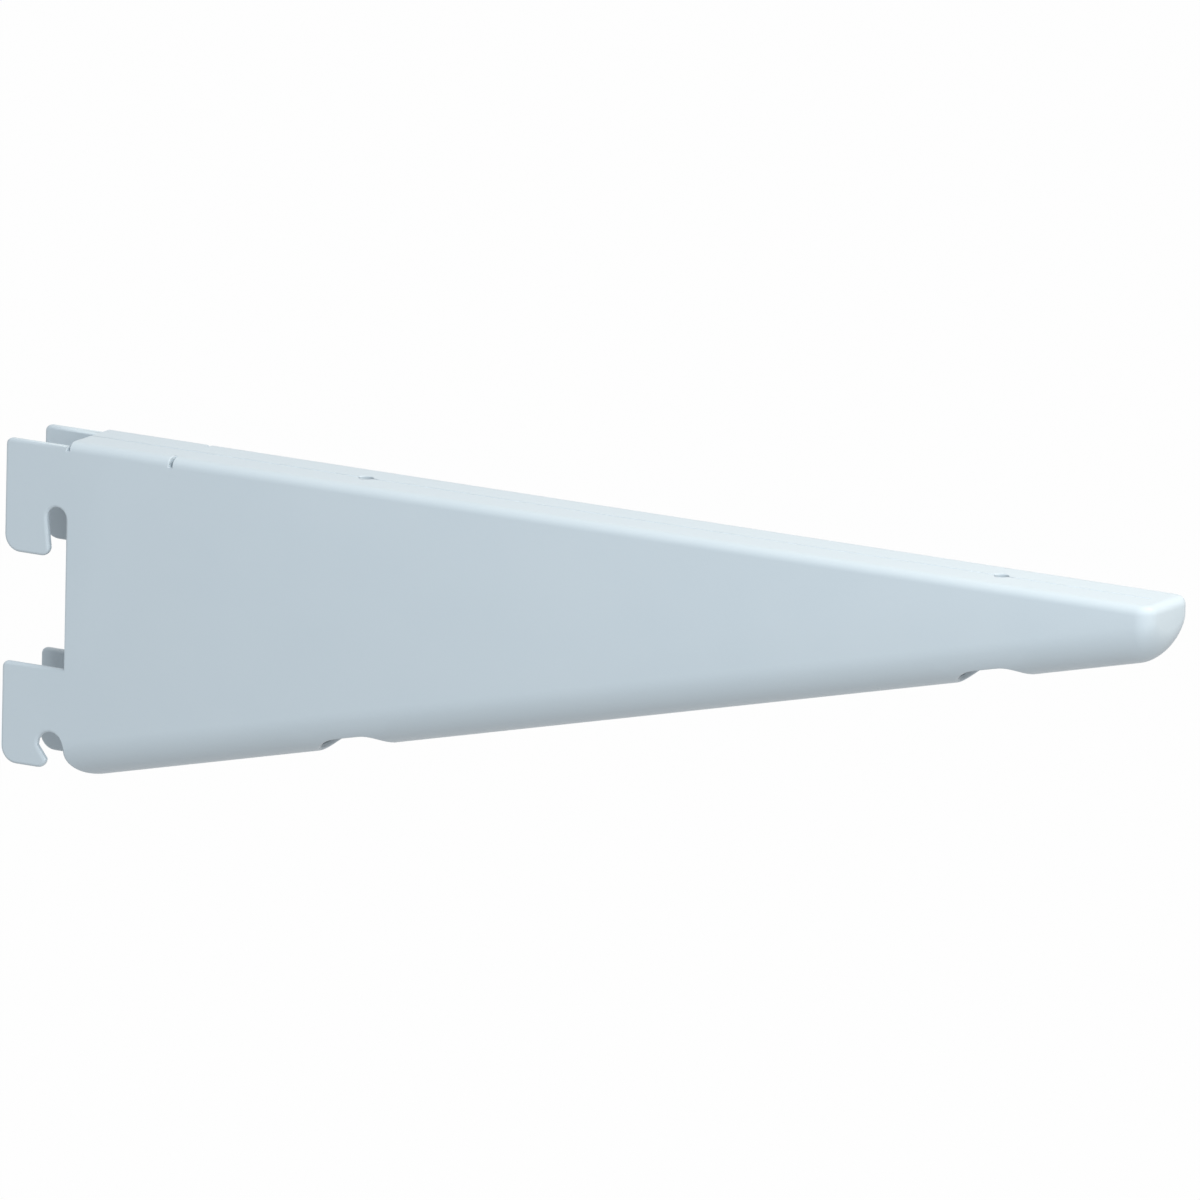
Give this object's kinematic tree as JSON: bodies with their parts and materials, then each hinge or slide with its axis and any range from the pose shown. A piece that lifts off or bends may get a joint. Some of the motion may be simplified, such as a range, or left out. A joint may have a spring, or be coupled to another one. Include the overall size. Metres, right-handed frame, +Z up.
{
  "type": "shelf bracket",
  "caption": "Folded steel shelf bracket that hooks into a slotted wall rail and tapers to a closed, rounded nose.",
  "frame": {"origin": "middle of the width, on the plane where the walls bear on the rail (X = 0), at the height of the shelf face (Z = 0)", "axes": "+X out from the wall towards the nose, +Y across the bracket, +Z up, out of the shelf face"},
  "size_m": [0.3065, 0.019, 0.0791],
  "materials": {
    "powder_coat": "satin powder coat, pale grey"
  },
  "bodies": {
    "root": {"bracket": "powder_coat"}
  },
  "joints": []
}
